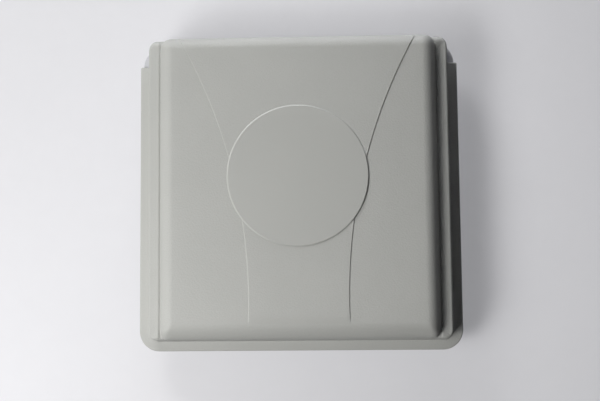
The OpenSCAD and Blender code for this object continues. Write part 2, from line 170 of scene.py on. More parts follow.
# %% [markdown]
# ## The moulding's height
# The moulded body is one height over its plan. The lower level is a block with leaning walls and a small
# edge radius, whose ledge climbs a little and ends in a crease. The upper level is a dome with a large edge
# radius and squarish soft corners. It could be built from boxes with bevels, but the corners of a real
# mould run out softly, and a formula gives that. The higher level of the two counts, and a smooth maximum
# leaves the fillet that a mould needs where they meet.

# %% Corners of the plan
PLAN_R = 12.0  # corner radius of the walls, seen from above


def soft_step(t):
    """Smooth rise from 0 to 1: three t squared minus two t cubed, level before 0 and after 1."""
    t = np.clip(t, 0.0, 1.0)
    return t * t * (3.0 - 2.0 * t)


def corner_parts(x, y):
    """Place in a corner square, sideways and lengthwise: 0 at its inner sides, 1 at the outline."""
    across = np.clip(1.0 - (BASE_HX - np.abs(x)) / PLAN_R, 0.0, 1.0)
    along = np.clip(1.0 - np.minimum(Y_TOP - y, y - BASE_LO) / PLAN_R, 0.0, 1.0)
    return across, along


print("top right corner:", [float(part) for part in corner_parts(BASE_HX, Y_TOP)])

# %% Height of the shoulder block
SHOULDER_H, SHOULDER_W = 28.0, 12.4
FOOT_H, FOOT_RUN = 0.6, 0.03  # the walls start upright
DRAFT, TOP_DRAFT = 4.0, 0.12  # lean of the walls on three sides, and at the almost upright top end
SHOULDER_R, TOP_EDGE_R = 3.0, 6.5  # edge radius on those sides
LEDGE_TILT, CREASE_D, CREASE_W = 0.8, 1.0, 2.2


def ledge_climb(x):
    """From minus to plus LEDGE_TILT over the ledge's width, minus a soft crease at its inner end."""
    ledge = np.clip(BASE_HX - np.abs(x) - DRAFT, 0.0, SHOULDER_W)
    crease = CREASE_D * soft_step((ledge - SHOULDER_W) / CREASE_W + 1.0)
    return LEDGE_TILT * (2.0 * ledge / SHOULDER_W - 1.0) - crease


def shoulder_height(x, y):
    """Upright foot, leaning wall, quarter round and ledge; lean and radius blend round a top corner."""
    across, along = corner_parts(x, y)
    share = np.where(y > 0.0, soft_step(np.arctan2(along, across + TINY) * 2.0 / np.pi), 0.0)
    draft = DRAFT + share * (TOP_DRAFT - DRAFT)
    radius = SHOULDER_R + share * (TOP_EDGE_R - SHOULDER_R)
    inset = np.minimum(BASE_HX - np.abs(x), np.minimum(Y_TOP - y, y - BASE_LO))
    foot = FOOT_H * np.clip(inset / FOOT_RUN, 0.0, 1.0)
    wall = (SHOULDER_H - FOOT_H - radius) * np.clip(inset / draft, 0.0, 1.0)
    left = radius - np.clip(inset - draft, 0.0, radius)
    edge = np.sqrt(np.maximum(radius ** 2 - left ** 2, 0.0))
    return foot + wall + edge + ledge_climb(x) * np.clip((inset - draft) / radius, 0.0, 1.0)


print("middle of the ledge:", float(shoulder_height(BASE_HX - DRAFT - SHOULDER_W / 2.0, 0.0)))

# %% Height of the dome
DOME_H, DOME_HX = 43.0, BASE_HX - DRAFT - SHOULDER_W
DOME_R, SIDE_R, FOOT_R = 14.0, 15.0, 18.0  # edge radii at the top end, the sides and the foot
HEAD_POWER, FOOT_POWER = 2.8, 4.0  # a higher power gives a squarer corner
OUTER_FALL = 5.0  # slope outside the dome, so that the shoulder counts there


def dome_height(x, y):
    """Top minus the fall of a quarter round on every side; corner insets add as powers; end walls cut it."""
    end_r = np.where(y > 0.0, DOME_R, FOOT_R)
    end_draft = np.where(y > 0.0, TOP_DRAFT, DRAFT)
    power = np.where(y > 0.0, HEAD_POWER, FOOT_POWER)
    inset = np.minimum(Y_TOP - TOP_DRAFT - y, y - BASE_LO - DRAFT)
    across = np.maximum(1.0 - (DOME_HX - np.abs(x)) / SIDE_R, 0.0)
    along = np.clip(1.0 - inset / end_r, 0.0, 1.0)
    reach = (across ** power + along ** power) ** (1.0 / power)
    radius = (across ** 2 * SIDE_R + along ** 2 * end_r) / np.maximum(across ** 2 + along ** 2, TINY)
    fall = radius * (1.0 - np.sqrt(np.maximum(1.0 - reach ** 2, 0.0)))
    outside = OUTER_FALL * SIDE_R * np.maximum(reach - 1.0, 0.0)
    wall = np.where(inset < 0.0, (DOME_H - end_r) * (1.0 + inset / end_draft), DOME_H)
    return np.minimum(DOME_H - (fall + outside), wall)


def smooth_maximum(first, second, width):
    """The larger of two heights, plus a quarter of the width times the squared nearness where they meet."""
    near = np.maximum(width - np.abs(first - second), 0.0) / width
    return np.maximum(first, second) + near ** 2 * width / 4.0


print("middle of the dome:", float(dome_height(0.0, 0.0)))

# %% [markdown]
# ## The body of the radome
# Grid lines stand close together where the surface bends and far apart where it is flat. The plan corners
# are rounded by drawing each square corner of the grid in to a quarter disc: a point keeps its largest
# coordinate as its radius. A Solidify modifier then gives the moulding its wall.

# %% Grid lines of the body
EDGE_STEPS, SIDE_STEPS, FOOT_STEPS, FLAT_STEPS = 12, 22, 26, 26
WALL_LINE = 0.4  # first grid line on the leaning walls
LEDGE_LINE, CREASE_LINE = 8.0, 4.5  # first line on the ledge, and the last one before those at the crease
dome_foot = DRAFT + SHOULDER_W
ring_lines = merged(np.linspace(0.0, TOP_DRAFT, 5), TOP_DRAFT + turn(TOP_EDGE_R, EDGE_STEPS),
                    np.linspace(WALL_LINE, DRAFT, 7), DRAFT + turn(SHOULDER_R, EDGE_STEPS))
before_foot = np.array([4.0, 3.0, 2.2, 1.6, 1.1, 0.7, 0.4, 0.2, 0.08, 0.0])  # closer towards the crease
after_foot = np.array([0.06, 0.15])
side_lines = merged(ring_lines, np.linspace(LEDGE_LINE, dome_foot - CREASE_LINE, 6), dome_foot - before_foot,
                    dome_foot + after_foot, dome_foot + turn(SIDE_R, SIDE_STEPS))
foot_lines = merged(ring_lines, DRAFT + turn(FOOT_R, FOOT_STEPS))
head_lines = merged(ring_lines, TOP_DRAFT + turn(DOME_R, SIDE_STEPS))
middle_x = np.linspace(-BASE_HX + side_lines[-1], BASE_HX - side_lines[-1], FLAT_STEPS)
middle_y = np.linspace(BASE_LO + foot_lines[-1], Y_TOP - head_lines[-1], FLAT_STEPS)
grid_x = merged(side_lines - BASE_HX, middle_x, BASE_HX - side_lines)
grid_y = merged(BASE_LO + foot_lines, middle_y, Y_TOP - head_lines)
print("grid lines of the body:", len(grid_x), "by", len(grid_y))

# %% Body of the radome
WALL_T = 2.8
FILLET, FILLET_H = 2.0, 12.0  # width of the fillet, and the height from which it is full


def round_corner(x, y):
    """Moves grid points of a square corner onto arcs: the direction stays, the larger part is the radius."""
    across, along = corner_parts(x, y)
    pull = np.maximum(across, along) / np.maximum(np.hypot(across, along), TINY) - 1.0
    pull = np.where((across > 0.0) & (along > 0.0), pull * PLAN_R, 0.0)
    return x + np.sign(x) * across * pull, y + np.sign(y) * along * pull


plan_y, plan_x = np.meshgrid(grid_y, grid_x)
flat_x, flat_y = round_corner(plan_x, plan_y)
low_level, high_level = shoulder_height(plan_x, plan_y), dome_height(flat_x, flat_y)
fillet = FILLET * np.clip(np.maximum(low_level, high_level) / FILLET_H, TINY, 1.0)
body_z = FRONT + smooth_maximum(low_level, high_level, fillet)
radome_body = grid_piece("radome_body", np.stack([flat_x, flat_y, body_z], axis=-1)[::-1], WALL_T)
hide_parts("radome")

# %% [markdown]
# ## The flange
# The flange runs along three sides only and ends below the top corners, where the corners of the plate show.
# It could be a bevelled strip, but a section carried along a U-shaped path keeps its form round the bends: a
# cove against the wall, a flat top, a rounded rim, and a lip that hangs down round the plate.

# %% Path of the flange
MIRROR_X = np.array([-1.0, 1.0])


def u_path(end_y, radius, straight, bend):
    """Points and outward directions along the wall base: left side, bend, half the bottom, then mirrored."""
    angle = np.linspace(np.pi, 1.5 * np.pi, bend)
    outward = np.stack([np.cos(angle), np.sin(angle)], axis=1)
    corner = np.array([-BASE_HX + radius, BASE_LO + radius]) + radius * outward
    side_y = np.linspace(end_y, BASE_LO + radius, straight)[:-1]
    foot_x = np.linspace(-BASE_HX + radius, 0.0, straight)[1:]
    side = np.stack([np.full(len(side_y), -BASE_HX), side_y], axis=1)
    foot = np.stack([foot_x, np.full(len(foot_x), BASE_LO)], axis=1)
    path = np.vstack([side, corner, foot])
    normal = np.vstack([np.tile([-1.0, 0.0], (len(side), 1)), outward, np.tile([0.0, -1.0], (len(foot), 1))])
    return tuple(np.vstack([half, half[-2::-1] * MIRROR_X]) for half in (path, normal))


def carried(profile, path, normal):
    """Profile points (outward, height) set at every path point, outward along its normal."""
    plan = path[:, None, :] + profile[None, :, :1] * normal[:, None, :]
    height = np.broadcast_to(FRONT + profile[None, :, 1:], plan.shape[:2] + (1,))
    return np.concatenate([plan, height], axis=-1)


FLANGE_END, END_R = 21.0, 1.2  # distance of the two ends from the top, and their rounding
FLANGE_BEND_R = 10.5
flange_path, flange_normal = u_path(Y_TOP - FLANGE_END - END_R, FLANGE_BEND_R, 14, 18)
print("path points of the flange:", len(flange_path))

# %% Flange
FLANGE_T, LIP_T, PLATE_GAP = 3.0, 2.5, 0.02
RIM_R, LIP_EDGE_R = 1.3, 0.6
COVE_R, COVE_IN = 1.6, 0.75  # radius of the cove, and how deep it sits in the wall
ROOT_IN, ROOT_UP = 1.4, 0.2  # depth of the flange's root in the wall, and its height above the cove


def arc_points(centre, radius, start, stop, steps):
    """Points of an arc from one angle to another, in degrees."""
    angle = np.radians(np.linspace(start, stop, steps))
    return np.stack([centre[0] + radius * np.cos(angle), centre[1] + radius * np.sin(angle)], axis=1)


def rounded_ends(rings, radius):
    """Rings at both ends: the end ring drawn in to its middle and pushed along Y as a quarter round."""
    angle = np.linspace(0.0, np.pi / 2, 5)[1:, None, None]
    draw_in = radius * (1.0 - np.cos(angle)) * [1.0, 0.0, 1.0]
    push = radius * np.sin(angle) * [0.0, 1.0, 0.0]
    ends = rings[[0, -1]]
    middle = (ends.min(axis=1, keepdims=True) + ends.max(axis=1, keepdims=True)) / 2.0
    half = np.maximum(np.ptp(ends, axis=1), TINY) / 2.0
    first, last = (middle[k] + (ends[k] - middle[k]) * (1.0 - draw_in / half[k]) + push for k in (0, 1))
    return np.concatenate([first[::-1], rings, last])


flange_profile = np.vstack([
    [[-ROOT_IN, PLATE_GAP], [-ROOT_IN, FLANGE_T + COVE_R + ROOT_UP]],
    arc_points((COVE_R - COVE_IN, FLANGE_T + COVE_R), COVE_R, 178, 270, 7),
    arc_points((FLANGE_W - RIM_R, FLANGE_T - RIM_R), RIM_R, 90, 0, 7),
    arc_points((FLANGE_W - LIP_EDGE_R, -FLANGE_T + LIP_EDGE_R), LIP_EDGE_R, 0, -90, 4),
    [[FLANGE_W - LIP_T, -FLANGE_T], [FLANGE_W - LIP_T, PLATE_GAP]]])
flange_rings = rounded_ends(carried(flange_profile, flange_path, flange_normal), END_R)
grid_piece("radome_flange", flange_rings, wrap_columns=True, cap_rows=True)

# %% [markdown]
# ## The raised centre field and the disc
# Two long arcs bound a centre field that stands a little above the side fields, and the disc stands above
# both. The field is a grid stretched between the arcs, and the disc is a profile turned about its centre.
# Both have steep rounded edges one to two millimetres wide, which draw the light and dark lines on the
# face, and close grid lines beside them keep the flat parts flat.

# %% Step of the centre field
STEP = 0.8  # the field stands one step above the face, and the disc two
ARC_R, WAIST, WAIST_Y = 515.0, 47.4, Y_TOP - 256.0  # long arcs, half width at the waist and its place
EDGE_W = 0.9
FIELD_DROP, FIELD_FADE = 2.5, 8.0  # how far the field starts down the rounding, and its run-out
HEAD_GAP, HEAD_FADE = 0.6, 3.0  # distance of its end from the top, and the run-out there
FIELD_LO = BASE_LO + DRAFT + FOOT_R - FIELD_DROP


def arc_reach(y):
    """Half width of the centre field at y: waist plus the rise of a circle of the long arc's radius."""
    return WAIST + ARC_R - np.sqrt(ARC_R ** 2 - (y - WAIST_Y) ** 2)


def field_lift(x, y):
    """Step of the centre field: soft across the long arcs, run out at the foot and at the top edge."""
    beside = soft_step((arc_reach(y) - np.abs(x)) / EDGE_W + 0.5)
    foot = soft_step((y - FIELD_LO) / FIELD_FADE)
    head = soft_step((Y_TOP - HEAD_GAP - y) / HEAD_FADE)
    return STEP * beside * foot * head


print("half width of the field at its low end:", round(float(arc_reach(FIELD_LO)), 2))

# %% Centre field
SKIN_T, SINK = 1.4, 0.05  # wall of field and disc, and how far their borders dip below the face
LOW_SLACK, HEAD_SLACK = 0.1, 0.5  # the body's lines are taken over between these ends
FLAT_GUARD = np.array([0.06, 0.3, 1.2])  # close lines behind an edge
edge_part = np.concatenate([np.linspace(-0.5, 0.5, 13) * EDGE_W, EDGE_W / 2.0 + FLAT_GUARD])
body_lines = grid_y[(grid_y > FIELD_LO - LOW_SLACK) & (grid_y < Y_TOP - HEAD_SLACK)]
field_y = merged(body_lines, np.linspace(FIELD_LO, Y_TOP - DOME_R, 90))[:, None]
reach = arc_reach(field_y)
inner = np.linspace(-1.0, 1.0, 15) * (reach - edge_part[-1])
field_x = np.hstack([-reach + edge_part[:-1], inner, reach - edge_part[-2::-1]])
field_y = np.broadcast_to(field_y, field_x.shape)
lift = field_lift(field_x, field_y)
field_z = FRONT + dome_height(field_x, field_y) + lift - SINK * (1.0 - lift / STEP)
grid_piece("radome_field", np.stack([field_x, field_y, field_z], axis=-1), SKIN_T)

# %% Disc
DISC_R, DISC_Y = 67.7, Y_TOP - 137.4
DISC_EDGE, EDGE_OUT = 1.7, 0.3  # width of the edge, and the part of it outside the radius
DISC_FLAT, DISC_STEPS = 4.0, 300  # the grid is coarse from this far inside the radius
edge_depth = np.concatenate([np.linspace(0.0, DISC_EDGE, 15), DISC_EDGE + FLAT_GUARD])
disc_radius = np.concatenate([DISC_R + EDGE_OUT - edge_depth, np.linspace(DISC_R - DISC_FLAT, AXIS_R, 10)])
disc_points = turned(disc_radius, FRONT + DOME_H, (0.0, DISC_Y), full_turn(DISC_STEPS))
rise = soft_step((DISC_R + EDGE_OUT - disc_radius) / DISC_EDGE)
under = field_lift(disc_points[..., 0], disc_points[..., 1])
disc_points[..., 2] = FRONT + DOME_H + under + (2.0 * STEP - under) * rise - SINK * (1.0 - rise)
grid_piece("radome_disc", disc_points[::-1], SKIN_T, wrap_rows=True, cap_columns=(-1,))

# %% [markdown]
# ## Inside the moulding
# The rim that holds the seal and the bosses that take the screws are part of the same moulding. They are
# hidden in use, and short turned and carried profiles are enough for them.

# %% Rim of the seal
RIM_OUT, RIM_IN, RIM_H = 1.6, 8.5, 5.0  # distances inwards from the wall's face, and height
GROOVE_OUT, GROOVE_IN, GROOVE_H = 3.6, 6.8, 2.0
rim_path, rim_normal = u_path(Y_TOP - PLAN_R, PLAN_R, 6, 10)
top_angle = np.linspace(0.0, np.pi / 2, 10)
top_normal = np.stack([np.cos(top_angle), np.sin(top_angle)], axis=1)
top_arc = np.array([BASE_HX - PLAN_R, Y_TOP - PLAN_R]) + PLAN_R * top_normal
rim_path = np.vstack([rim_path, top_arc[1:], top_arc[::-1] * MIRROR_X])[:-1]
rim_normal = np.vstack([rim_normal, top_normal[1:], top_normal[::-1] * MIRROR_X])[:-1]
rim_profile = np.array([[-RIM_OUT, 0.0], [-GROOVE_OUT, 0.0], [-GROOVE_OUT, GROOVE_H], [-GROOVE_IN, GROOVE_H],
                        [-GROOVE_IN, 0.0], [-RIM_IN, 0.0], [-RIM_IN, RIM_H], [-RIM_OUT, RIM_H]])
grid_piece("radome_rim", carried(rim_profile, rim_path, rim_normal), wrap_rows=True, wrap_columns=True)

# %% Screw bosses
BOSS_R, BOSS_H, BOSS_STEPS = 4.6, 25.4, 32
PILOT_R, PILOT_DEEP = 1.9, 14.0
SCREW_HEAD_R = 3.325  # from the border of the screws' box to the axis of a screw
BOSS_INSET, BOSS_SHARE = 20.0, 0.46  # first boss of a side from its end, and end bosses in half widths
screws_low, screws_high = box_in_mm("cover_screws")
boss_hx = screws_high[0] - SCREW_HEAD_R
boss_lo, boss_hi = screws_low[1] + SCREW_HEAD_R, screws_high[1] - SCREW_HEAD_R
boss_rows = np.linspace(boss_lo + BOSS_INSET, boss_hi - BOSS_INSET, 4)
boss_centres = [(side * boss_hx, y) for side in (-1, 1) for y in boss_rows]
boss_centres += [(side * BOSS_SHARE * DOME_HX, y) for y in (boss_lo, boss_hi) for side in (-1, 1)]
boss_r, boss_z = np.array([[AXIS_R, PILOT_DEEP], [PILOT_R, PILOT_DEEP], [PILOT_R, 0.0],
                           [BOSS_R, 0.0], [BOSS_R, BOSS_H], [AXIS_R, BOSS_H]]).T
for number, centre in enumerate(boss_centres):
    boss_points = turned(boss_r, FRONT + boss_z, centre, full_turn(BOSS_STEPS))
    grid_piece(f"radome_boss_{number:02d}", boss_points[::-1], wrap_rows=True, cap_columns=(0, -1))

# %% [markdown]
# ## Threads on the back
# Four pressed studs carry the panel on its bracket, and the socket's barrel takes the nut of the cable's
# plug. Both have screw threads. A thread could be cut along a helix with a second solid, but a surface of
# angle and height needs no cutting: the radius falls from crest to root and back once in every pitch, and
# the pattern climbs one pitch in each turn. A cone bevels the free end, and the groove runs out softly at
# the other.

# %% Thread surface
PITCH_STEPS, GROOVE = 10, 0.6  # rows in a pitch, and depth of the groove in pitches
ROOT_FLAT, FLANK = 0.1, 0.75  # shares of half a pitch


def turned_thread(profile, centre, pitch, tip_radius, steps):
    """Rows (radius, height, share) turned about an upright axis; share 1 cuts a V of GROOVE that climbs."""
    spin = full_turn(steps)
    radius, height, share = profile.T
    tooth = np.abs(2.0 * np.mod(height / pitch - spin / (2.0 * np.pi), 1.0) - 1.0)
    groove = GROOVE * pitch * share * (1.0 - soft_step((tooth - ROOT_FLAT) / FLANK))
    cut = np.minimum(radius - groove, tip_radius + height - height.min())
    return turned(cut, height, centre, spin)


def plain_rows(rows):
    """Profile rows (radius, height) without a thread."""
    return np.hstack([np.array(rows, dtype=float), np.zeros((len(rows), 1))])


print("turn of the helix for each row:", 360.0 / PITCH_STEPS, "degrees")

# %% Profile of a stud
STUD_R, STUD_TIP, STUD_PITCH, STUD_STEPS = 3.0, 2.3, 1.0, 36
HEAD_R, HEAD_T, COLLAR_R = 4.4, 1.2, 3.4
GUARD, TIP_GUARD = 0.03, 0.05  # close rows that keep an edge crisp
studs_low, studs_high = box_in_mm("mounting_studs")
stud_low, stud_top, plate_back = studs_low[2], studs_high[2], plate_low[2]
head_low, thread_end = stud_top - HEAD_T, plate_back - STUD_PITCH
stud_rows = int((thread_end - stud_low) / STUD_PITCH) * PITCH_STEPS + 1
stud_height = np.linspace(stud_low, thread_end, stud_rows)
stud_share = soft_step((thread_end - stud_height) / STUD_PITCH)
stud_profile = np.vstack([
    plain_rows([[AXIS_R, stud_low], [STUD_TIP - TIP_GUARD, stud_low]]),
    np.stack([np.full(stud_rows, STUD_R), stud_height, stud_share], axis=1),
    plain_rows([[STUD_R, plate_back - GUARD], [STUD_R, plate_back], [STUD_R + GUARD, plate_back],
                [COLLAR_R - GUARD, plate_back], [COLLAR_R, plate_back], [COLLAR_R, plate_back + GUARD],
                [COLLAR_R, head_low], [HEAD_R, head_low], [HEAD_R, stud_top - GUARD], [HEAD_R, stud_top],
                [HEAD_R - GUARD, stud_top], [AXIS_R, stud_top]])])
print("rows of a stud:", len(stud_profile))

# %% Studs
stud_x = [studs_low[0] + HEAD_R, studs_high[0] - HEAD_R]
stud_y = [studs_low[1] + HEAD_R, studs_high[1] - HEAD_R]
studs = []
for number, centre in enumerate([(x, y) for x in stud_x for y in stud_y]):
    stud_points = turned_thread(stud_profile, centre, STUD_PITCH, STUD_TIP, STUD_STEPS)[::-1]
    stud = grid_piece(f"stud_{number}", stud_points, slot="stud", wrap_rows=True, cap_columns=(0, -1))
    studs.append(stud)
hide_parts("mounting_studs")

# %% [markdown]
# ## The connector's body
# The socket's body is one nickel-plated turning: a square flange with four screw holes and a threaded
# barrel with a relief groove behind the thread. The barrel is a turned thread, hollow to the flange and let
# into it a little. A plate with five holes is no plain grid, so the flange is drawn as a flat outline with
# its holes and given thickness and a small round on its edges, as a plate is milled.

# %% Plate from an outline
WELD = 0.001  # points closer than this become one


def rounded_square(centre, half, radius, steps):
    """Outline of a square with rounded corners: four quarter arcs about the corner centres."""
    quarter = np.arange(4)[:, None] * np.pi / 2
    angle = quarter + np.linspace(0.0, np.pi / 2, steps)
    x = (half - radius) * np.sign(np.cos(quarter + np.pi / 4)) + radius * np.cos(angle)
    y = (half - radius) * np.sign(np.sin(quarter + np.pi / 4)) + radius * np.sin(angle)
    return np.stack([centre[0] + x, centre[1] + y], axis=-1).reshape(-1, 2)


def plate_mesh(name, loops, low, high, edge):
    """A plate between two heights in mm: outline and holes as a filled flat curve with rounded edges."""
    sketch = bpy.data.curves.new(name, "CURVE")
    sketch.dimensions, sketch.fill_mode = "2D", "BOTH"
    sketch.extrude, sketch.offset = (high - low) / 2.0 - edge, -edge
    sketch.bevel_depth, sketch.bevel_resolution = edge, 2
    for loop in loops:
        spline = sketch.splines.new("POLY")
        spline.points.add(len(loop) - 1)
        spline.points.foreach_set("co", np.hstack([loop, np.tile([0.0, 1.0], (len(loop), 1))]).ravel())
        spline.use_cyclic_u = True
    pattern = bpy.data.objects.new(name + "_sketch", sketch)
    mesh = bpy.data.meshes.new_from_object(pattern)
    bpy.data.objects.remove(pattern)
    shape = bmesh.new()
    shape.from_mesh(mesh)
    bmesh.ops.remove_doubles(shape, verts=shape.verts, dist=WELD)
    bmesh.ops.recalc_face_normals(shape, faces=shape.faces)
    shape.to_mesh(mesh)
    shape.free()
    middle = Matrix.Translation((0.0, 0.0, (low + high) / 2.0))
    mesh.transform(Matrix.Scale(1.0 / MM_PER_METRE, 4) @ middle)
    return mesh

# %% Connector flange
PLATE_T, PLATE_R, PLATE_EDGE = 3.0, 1.2, 0.25  # thickness, corner radius and edge round
SCREW_HX, SCREW_R, BORE_R = 9.12, 1.8, 4.25
BORE_STEPS, SCREW_STEPS = 48, 24
body_low, body_high = box_in_mm("connector_body")
socket = (body_low[:2] + body_high[:2]) / 2.0
flange_back = body_high[2] - PLATE_T
flange_loops = [rounded_square(socket, (body_high[0] - body_low[0]) / 2.0, PLATE_R, 7),
                arc_points(socket, BORE_R, 0, 360, BORE_STEPS + 1)[:-1]]
screw_places = [socket + SCREW_HX * np.array([sx, sy]) for sx in (-1, 1) for sy in (-1, 1)]
flange_loops += [arc_points(centre, SCREW_R, 0, 360, SCREW_STEPS + 1)[:-1] for centre in screw_places]
flange_mesh = plate_mesh("connector_flange", flange_loops, flange_back, body_high[2], PLATE_EDGE)
connector_flange = mesh_piece("connector_flange", flange_mesh)

# %% Connector barrel
BARREL_R, BARREL_TIP, BARREL_STEPS = 7.94, 7.14, 72
BARREL_PITCH = 25.4 / 24.0  # 24 turns to the inch
RELIEF_R, RELIEF_L, BARREL_IN = 6.84, 2.2, 0.5  # groove behind the thread, and depth in the flange
SOCKET_R, SOCKET_DEEP = 6.0, 10.0
MOUTH_R, MOUTH_IN, MOUTH_UP = 0.15, 0.05, 0.04  # small round of the socket's mouth, and its middle point
tip, seat = body_low[2], body_low[2] + SOCKET_DEEP  # free end, and the end of the socket's hole
relief_low, root = flange_back - RELIEF_L, flange_back + BARREL_IN
barrel_rows = int((relief_low - tip) / BARREL_PITCH * PITCH_STEPS) + 1
barrel_height = np.linspace(relief_low, tip, barrel_rows)
barrel_crest = np.minimum(BARREL_R, RELIEF_R + relief_low - barrel_height)
barrel_profile = np.vstack([
    plain_rows([[RELIEF_R, root], [RELIEF_R, relief_low + TIP_GUARD]]),
    np.stack([barrel_crest, barrel_height, soft_step(relief_low - barrel_height)], axis=1),
    plain_rows([[BARREL_TIP - TIP_GUARD, tip], [SOCKET_R + MOUTH_R, tip],
                [SOCKET_R + MOUTH_IN, tip + MOUTH_UP], [SOCKET_R, tip + MOUTH_R],
                [SOCKET_R, seat - TIP_GUARD], [SOCKET_R, seat], [SOCKET_R - TIP_GUARD, seat],
                [BORE_R + TIP_GUARD, seat], [BORE_R, seat], [BORE_R, seat + TIP_GUARD], [BORE_R, root]])])
barrel_points = turned_thread(barrel_profile, socket, BARREL_PITCH, BARREL_TIP, BARREL_STEPS)
connector_barrel = grid_piece("connector_barrel", barrel_points, slot="nickel",
                              wrap_rows=True, wrap_columns=True)
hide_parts("connector_body")

# %% [markdown]
# ## Shared surface effects
# Three effects are used by many finishes: the fine grain of a spark-eroded mould, the fine lines of brushed
# or turned metal, and the faint smudges of handling. Pictures could give them too, but noise has no seams on
# any shape. Each effect is a node group with named sockets, built once.

# %% Helpers for node groups
def new_group(name, inputs, outputs):
    """An empty shader group with float inputs, given with their defaults, and float outputs."""
    group = bpy.data.node_groups.new(name, "ShaderNodeTree")
    for label, value in inputs.items():
        socket_in = group.interface.new_socket(label, in_out="INPUT", socket_type="NodeSocketFloat")
        socket_in.default_value = value
    for label in outputs:
        group.interface.new_socket(label, in_out="OUTPUT", socket_type="NodeSocketFloat")
    entry, leave = group.nodes.new("NodeGroupInput"), group.nodes.new("NodeGroupOutput")
    place = group.nodes.new("ShaderNodeTexCoord").outputs["Object"]
    return group, entry, leave, place


def noise(group, place, scale, detail, roughness=0.5):
    """A noise texture read on the given coordinates, with a number or a socket as its scale."""
    node = group.nodes.new("ShaderNodeTexNoise")
    node.inputs["Detail"].default_value = detail
    node.inputs["Roughness"].default_value = roughness
    group.links.new(place, node.inputs["Vector"])
    if isinstance(scale, (int, float)):
        node.inputs["Scale"].default_value = scale
    else:
        group.links.new(scale, node.inputs["Scale"])
    return node.outputs["Fac"]


def math_node(group, operation, first, second):
    """One math step on two sockets or numbers."""
    node = group.nodes.new("ShaderNodeMath")
    node.operation = operation
    for socket_in, value in zip(node.inputs, (first, second)):
        if isinstance(value, (int, float)):
            socket_in.default_value = value
        else:
            group.links.new(value, socket_in)
    return node.outputs["Value"]

# %% Grain, lines and smudges
grain_group, entry, leave, place = new_group("mould_grain", {"Scale": 900.0}, ["Height", "Shade"])
fine = noise(grain_group, place, entry.outputs["Scale"], 3.0, 0.55)
broad = noise(grain_group, place, 14.0, 2.0)
grain_group.links.new(fine, leave.inputs["Height"])
half_fine = math_node(grain_group, "MULTIPLY", fine, 0.5)
half_broad = math_node(grain_group, "MULTIPLY", broad, 0.5)
grain_group.links.new(math_node(grain_group, "ADD", half_fine, half_broad), leave.inputs["Shade"])

lines_group, entry, leave, place = new_group("fine_lines", {"Scale": 60.0}, ["Height", "Shade"])
stretch = lines_group.nodes.new("ShaderNodeMapping")
stretch.inputs["Scale"].default_value = (1.0, 40.0, 40.0)
lines_group.links.new(place, stretch.inputs["Vector"])
streak = noise(lines_group, stretch.outputs["Vector"], entry.outputs["Scale"], 4.0, 0.6)
lines_group.links.new(streak, leave.inputs["Height"])
lines_group.links.new(streak, leave.inputs["Shade"])

smudge_group, entry, leave, place = new_group("smudges", {"Low": 0.4, "High": 0.5}, ["Roughness"])
cloud = noise(smudge_group, place, 22.0, 4.0, 0.6)
spread = math_node(smudge_group, "SUBTRACT", entry.outputs["High"], entry.outputs["Low"])
wander = math_node(smudge_group, "MULTIPLY", cloud, spread)
roughness = math_node(smudge_group, "ADD", entry.outputs["Low"], wander)
smudge_group.links.new(roughness, leave.inputs["Roughness"])
print("groups:", [group.name for group in (grain_group, lines_group, smudge_group)])

# %% [markdown]
# ## Finishes
# One function places the groups in a material: two colours mixed by the shade, a roughness that wanders
# between two values, and a bump from the grain or the lines. Metals and plastics differ only in the values
# given to it.

# %% Finish maker
def finish(name, dark, light, roughness, group, scale, bump, metallic=0.0, depth=0.0002):
    """A procedural finish: colour mixed by a group's shade, wandering roughness, bump from its height."""
    material = bpy.data.materials.new(name)
    material.use_nodes = True
    tree = material.node_tree
    shader = tree.nodes["Principled BSDF"]
    shader.inputs["Metallic"].default_value = metallic
    effect = tree.nodes.new("ShaderNodeGroup")
    effect.node_tree = group
    effect.inputs["Scale"].default_value = scale
    mix = tree.nodes.new("ShaderNodeMix")
    mix.data_type = "RGBA"
    mix.inputs["A"].default_value = (*dark, 1.0)
    mix.inputs["B"].default_value = (*light, 1.0)
    tree.links.new(effect.outputs["Shade"], mix.inputs["Factor"])
    tree.links.new(mix.outputs["Result"], shader.inputs["Base Color"])
    smudge = tree.nodes.new("ShaderNodeGroup")
    smudge.node_tree = smudge_group
    smudge.inputs["Low"].default_value, smudge.inputs["High"].default_value = roughness
    tree.links.new(smudge.outputs["Roughness"], shader.inputs["Roughness"])
    relief = tree.nodes.new("ShaderNodeBump")
    relief.inputs["Strength"].default_value = bump
    relief.inputs["Distance"].default_value = depth
    tree.links.new(effect.outputs["Height"], relief.inputs["Height"])
    tree.links.new(relief.outputs["Normal"], shader.inputs["Normal"])
    return material

